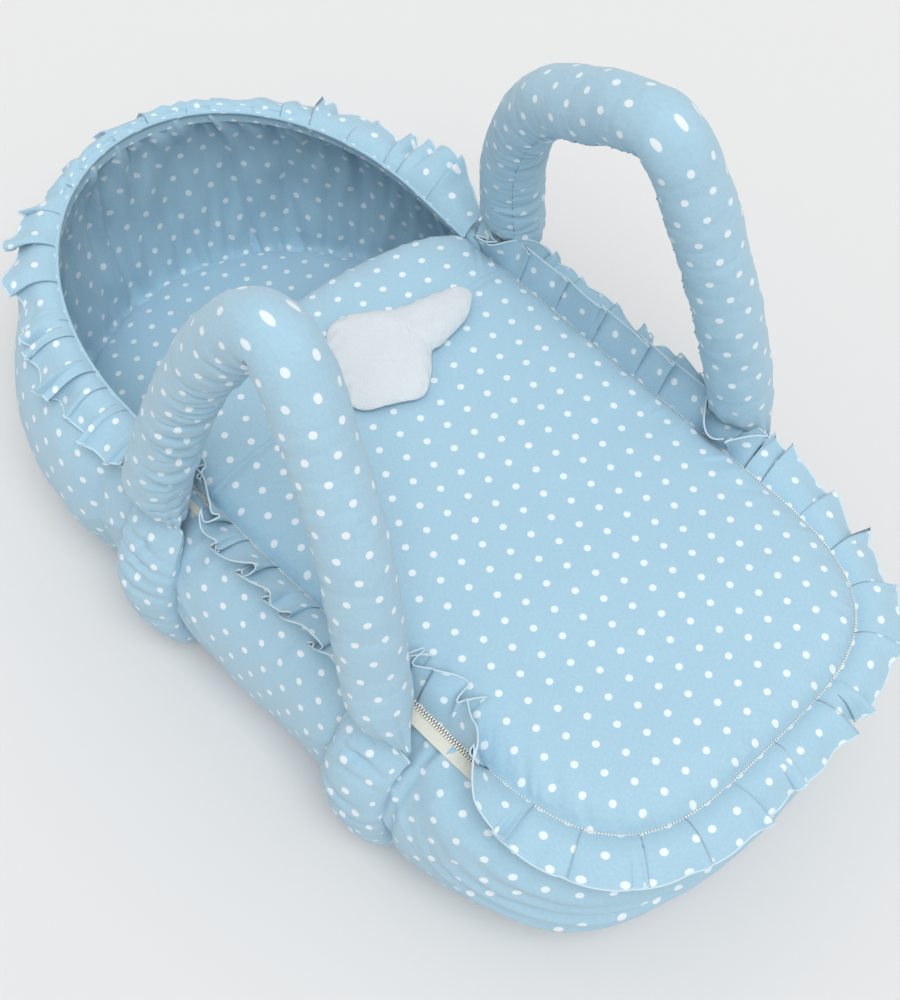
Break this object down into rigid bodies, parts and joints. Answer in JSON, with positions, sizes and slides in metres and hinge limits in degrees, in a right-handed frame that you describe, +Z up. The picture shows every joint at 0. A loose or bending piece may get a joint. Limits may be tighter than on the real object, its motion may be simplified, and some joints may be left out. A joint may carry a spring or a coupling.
{
  "type": "bassinet",
  "caption": "Soft padded carrying bassinet with a frilled rim, zip-on quilted cover, cloud cushion, loose mattress and two stuffed carrying handles.",
  "frame": {"origin": "on the floor, under the middle of the nest", "axes": "+Y to the head end, +X to the right as seen from the foot, +Z up"},
  "size_m": [0.4762, 0.7795, 0.5011],
  "materials": {
    "dotted_cotton": "matte fine woven cotton printed with small off-white dots",
    "quilted_cotton": "matte plain woven cotton",
    "white_fleece": "soft brushed white cloth",
    "hem_tape": "flat woven tape",
    "zip_tape": "cream woven tape",
    "zip_coil": "cream nylon coil",
    "zip_metal": "bright plated die casting",
    "webbing": "woven polyester webbing",
    "foam": "loose polyester wadding inside the cloth",
    "stiffener": "plain stiff grey board"
  },
  "bodies": {
    "nest": {"base_panel": "quilted_cotton", "base_board": "stiffener", "mattress_foam": "foam", "mattress_cover": "dotted_cotton", "rim_binding_head": "dotted_cotton", "rim_binding_foot": "dotted_cotton", "frill_head": "dotted_cotton", "zip_tape_nest": "zip_tape", "zip_coil_nest": "zip_coil", "wall_cloth_left": "dotted_cotton", "wall_foam_left": "foam", "wall_lining_left": "dotted_cotton", "handle_leg_left_front": "dotted_cotton", "handle_leg_left_rear": "dotted_cotton", "wall_cloth_right": "dotted_cotton", "wall_foam_right": "foam", "wall_lining_right": "dotted_cotton", "handle_leg_right_front": "dotted_cotton", "handle_leg_right_rear": "dotted_cotton", "wall_cloth_head": "dotted_cotton", "wall_cloth_foot": "dotted_cotton"},
    "handle_left": {"handle_sleeve_left": "dotted_cotton", "handle_webbing_left": "webbing", "handle_tacks_left": "webbing"},
    "handle_right": {"handle_sleeve_right": "dotted_cotton", "handle_webbing_right": "webbing", "handle_tacks_right": "webbing"},
    "cover": {"cover_quilt": "dotted_cotton", "cover_hem_tape": "hem_tape", "cover_flap": "dotted_cotton", "cover_lining": "dotted_cotton", "frill_foot": "dotted_cotton", "frill_side_left": "dotted_cotton", "frill_side_right": "dotted_cotton", "cloud_cushion": "white_fleece", "zip_tape_cover": "zip_tape", "zip_coil_cover": "zip_coil"},
    "slider": {"zip_slider": "zip_metal"},
    "pull": {"zip_pull": "zip_metal"}
  },
  "joints": [
    {"name": "handle_left_fold", "type": "hinge", "parent": "nest", "child": "handle_left", "pos_m": [-0.19, -0.0385, 0.18], "axis": [0, 1, 0], "range_deg": [-98, 22]},
    {"name": "handle_right_fold", "type": "hinge", "parent": "nest", "child": "handle_right", "pos_m": [0.19, -0.0385, 0.18], "axis": [0, 1, 0], "range_deg": [-22, 98]},
    {"name": "cover_lift", "type": "slide", "parent": "nest", "child": "cover", "axis": [0, -0.9962, 0.0872], "range_m": [0, 0.56]},
    {"name": "zip_run", "type": "slide", "parent": "nest", "child": "slider", "axis": [0, -1, 0], "range_m": [0, 0.28]},
    {"name": "pull_turn", "type": "hinge", "parent": "slider", "child": "pull", "pos_m": [0.16, 0.118, 0.186], "axis": [1, 0, 0], "range_deg": [0, 120]}
  ]
}
